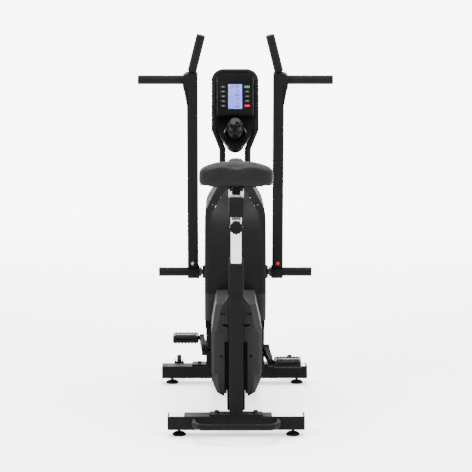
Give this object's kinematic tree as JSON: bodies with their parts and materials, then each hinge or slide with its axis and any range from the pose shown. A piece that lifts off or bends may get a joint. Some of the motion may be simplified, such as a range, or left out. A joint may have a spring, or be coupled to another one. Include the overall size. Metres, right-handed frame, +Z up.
{
  "type": "fan-resistance exercise bike",
  "caption": "Upright air-resistance exercise bike with a fan drum at the front, swinging handle arms, adjustable saddle and a tilted console.",
  "frame": {"origin": "on the floor, at the centre of the footprint of the bounding box", "axes": "+X to the rider's right, +Y forward from the saddle to the fan drum, +Z up"},
  "size_m": [0.738, 1.3529, 1.455],
  "materials": {
    "frame_paint": "satin black powder coat",
    "cap_plastic": "matt black",
    "foot_rubber": "black rubber",
    "zinc": "dark zinc",
    "steel": "bright steel",
    "shroud_plastic": "satin black plastic",
    "panel_plastic": "semi-gloss dark grey plastic",
    "guard_plastic": "satin dark grey plastic",
    "belt_rubber": "black belt",
    "console_plastic": "black plastic",
    "fascia": "gloss black",
    "display": "blue-violet display film",
    "crank_black": "black",
    "pedal_plastic": "black plastic",
    "fan_metal": "dark grey",
    "grip_foam": "black foam",
    "silver": "silver",
    "saddle_plastic": "black",
    "saddle_vinyl": "dark grey vinyl",
    "knob_plastic": "black ribbed plastic",
    "bottle_plastic": "gloss black",
    "wheel_rubber": "black",
    "key_grey": "light grey",
    "key_green": "green",
    "key_red": "red"
  },
  "bodies": {
    "frame": {"rear_stabilizer": "frame_paint", "front_stabilizer": "frame_paint", "stabilizer_caps": "cap_plastic", "levelling_feet": "foot_rubber", "fasteners": "zinc", "rear_column": "frame_paint", "seat_tube": "frame_paint", "main_beam": "frame_paint", "left_fork_leg": "frame_paint", "right_fork_leg": "frame_paint", "bearing_rings": "steel", "fan_axle": "steel", "lift_handle": "frame_paint", "wheel_brackets": "frame_paint", "shroud_left": "shroud_plastic", "shroud_right": "shroud_plastic", "shroud_rear_panel": "panel_plastic", "lower_shroud": "guard_plastic", "left_drive_guard": "guard_plastic", "right_drive_guard": "guard_plastic", "drive_belt": "belt_rubber", "console_mast": "frame_paint", "console_housing": "console_plastic", "console_fascia": "fascia", "console_display": "display", "bottle_cup": "console_plastic"},
    "crank": {"crank_spindle": "crank_black", "crank_arms": "crank_black", "crank_pulley": "steel"},
    "left_pedal": {"left_pedal": "pedal_plastic"},
    "right_pedal": {"right_pedal": "pedal_plastic"},
    "fan": {"fan_wheel": "fan_metal"},
    "left_rod": {"left_rod": "zinc"},
    "right_rod": {"right_rod": "zinc"},
    "left_arm": {"left_arm": "frame_paint", "left_pivot_shaft": "zinc", "left_grips": "grip_foam"},
    "right_arm": {"right_arm": "frame_paint", "right_pivot_shaft": "zinc", "right_grips": "grip_foam"},
    "seat_post": {"seat_post": "silver"},
    "saddle": {"seat_carriage": "frame_paint", "saddle_clamp": "silver", "saddle_base": "saddle_plastic", "saddle_cushion": "saddle_vinyl"},
    "slide_knob": {"slide_knob": "knob_plastic"},
    "height_pin": {"height_pin": "knob_plastic"},
    "bottle": {"bottle": "bottle_plastic"},
    "left_wheel": {"left_wheel": "wheel_rubber"},
    "right_wheel": {"right_wheel": "wheel_rubber"},
    "key_1": {"key_1": "key_grey"},
    "key_2": {"key_2": "key_grey"},
    "key_3": {"key_3": "key_grey"},
    "key_4": {"key_4": "key_grey"},
    "key_5": {"key_5": "key_grey"},
    "key_6": {"key_6": "key_green"},
    "key_7": {"key_7": "key_grey"},
    "key_8": {"key_8": "key_grey"},
    "key_9": {"key_9": "key_grey"},
    "key_10": {"key_10": "key_red"}
  },
  "joints": [
    {"name": "crank_spin", "type": "hinge", "parent": "frame", "child": "crank", "pos_m": [0, -0.1985, 0.262], "axis": [1, 0, 0], "continuous": true},
    {"name": "fan_spin", "type": "hinge", "parent": "frame", "child": "fan", "pos_m": [0, 0.2915, 0.505], "axis": [1, 0, 0], "continuous": true},
    {"name": "left_rod_turn", "type": "hinge", "parent": "crank", "child": "left_rod", "pos_m": [0, -0.21054, 0.27797], "axis": [1, 0, 0], "continuous": true},
    {"name": "right_rod_turn", "type": "hinge", "parent": "crank", "child": "right_rod", "pos_m": [0, -0.18646, 0.24603], "axis": [1, 0, 0], "continuous": true},
    {"name": "left_pedal_spin", "type": "hinge", "parent": "crank", "child": "left_pedal", "pos_m": [-0.192, -0.02949, 0.28036], "axis": [1, 0, 0], "continuous": true},
    {"name": "right_pedal_spin", "type": "hinge", "parent": "crank", "child": "right_pedal", "pos_m": [0.192, -0.36751, 0.24364], "axis": [1, 0, 0], "continuous": true},
    {"name": "left_arm_swing", "type": "hinge", "parent": "frame", "child": "left_arm", "pos_m": [-0.163, 0.0165, 0.533], "axis": [1, 0, 0], "range_deg": [-12, 12]},
    {"name": "right_arm_swing", "type": "hinge", "parent": "frame", "child": "right_arm", "pos_m": [0.163, 0.0165, 0.533], "axis": [1, 0, 0], "range_deg": [-12, 12]},
    {"name": "seat_height", "type": "slide", "parent": "frame", "child": "seat_post", "axis": [0, 0, 1], "range_m": [-0.08, 0.14]},
    {"name": "seat_fore_aft", "type": "slide", "parent": "seat_post", "child": "saddle", "axis": [0, 1, 0], "range_m": [-0.03, 0.03]},
    {"name": "slide_knob_turn", "type": "hinge", "parent": "seat_post", "child": "slide_knob", "pos_m": [0, -0.5685, 0.77], "axis": [0, 1, 0], "range_deg": [-180, 180]},
    {"name": "height_pin_pull", "type": "slide", "parent": "frame", "child": "height_pin", "axis": [0, 1, 0], "range_m": [0, 0.012], "stiffness_N_per_m": 400, "springref_m": -0.005},
    {"name": "bottle_lift", "type": "slide", "parent": "frame", "child": "bottle", "axis": [0, -0.6428, 0.766], "range_m": [0, 0.12]},
    {"name": "left_wheel_spin", "type": "hinge", "parent": "frame", "child": "left_wheel", "pos_m": [-0.231, 0.5975, 0.073], "axis": [1, 0, 0], "continuous": true},
    {"name": "right_wheel_spin", "type": "hinge", "parent": "frame", "child": "right_wheel", "pos_m": [0.231, 0.5975, 0.073], "axis": [1, 0, 0], "continuous": true},
    {"name": "key_1_press", "type": "slide", "parent": "frame", "child": "key_1", "axis": [0, 0.9063, -0.4226], "range_m": [0, 0.001], "stiffness_N_per_m": 200, "springref_m": -0.001},
    {"name": "key_2_press", "type": "slide", "parent": "frame", "child": "key_2", "axis": [0, 0.9063, -0.4226], "range_m": [0, 0.001], "stiffness_N_per_m": 200, "springref_m": -0.001},
    {"name": "key_3_press", "type": "slide", "parent": "frame", "child": "key_3", "axis": [0, 0.9063, -0.4226], "range_m": [0, 0.001], "stiffness_N_per_m": 200, "springref_m": -0.001},
    {"name": "key_4_press", "type": "slide", "parent": "frame", "child": "key_4", "axis": [0, 0.9063, -0.4226], "range_m": [0, 0.001], "stiffness_N_per_m": 200, "springref_m": -0.001},
    {"name": "key_5_press", "type": "slide", "parent": "frame", "child": "key_5", "axis": [0, 0.9063, -0.4226], "range_m": [0, 0.001], "stiffness_N_per_m": 200, "springref_m": -0.001},
    {"name": "key_6_press", "type": "slide", "parent": "frame", "child": "key_6", "axis": [0, 0.9063, -0.4226], "range_m": [0, 0.001], "stiffness_N_per_m": 200, "springref_m": -0.001},
    {"name": "key_7_press", "type": "slide", "parent": "frame", "child": "key_7", "axis": [0, 0.9063, -0.4226], "range_m": [0, 0.001], "stiffness_N_per_m": 200, "springref_m": -0.001},
    {"name": "key_8_press", "type": "slide", "parent": "frame", "child": "key_8", "axis": [0, 0.9063, -0.4226], "range_m": [0, 0.001], "stiffness_N_per_m": 200, "springref_m": -0.001},
    {"name": "key_9_press", "type": "slide", "parent": "frame", "child": "key_9", "axis": [0, 0.9063, -0.4226], "range_m": [0, 0.001], "stiffness_N_per_m": 200, "springref_m": -0.001},
    {"name": "key_10_press", "type": "slide", "parent": "frame", "child": "key_10", "axis": [0, 0.9063, -0.4226], "range_m": [0, 0.001], "stiffness_N_per_m": 200, "springref_m": -0.001}
  ],
  "couplings": [
    {"joint": "fan_spin", "follows": "crank_spin", "ratio": 5},
    {"joint": "left_rod_turn", "follows": "crank_spin", "ratio": -1},
    {"joint": "right_rod_turn", "follows": "crank_spin", "ratio": -1},
    {"joint": "right_arm_swing", "follows": "left_arm_swing", "ratio": -1}
  ]
}
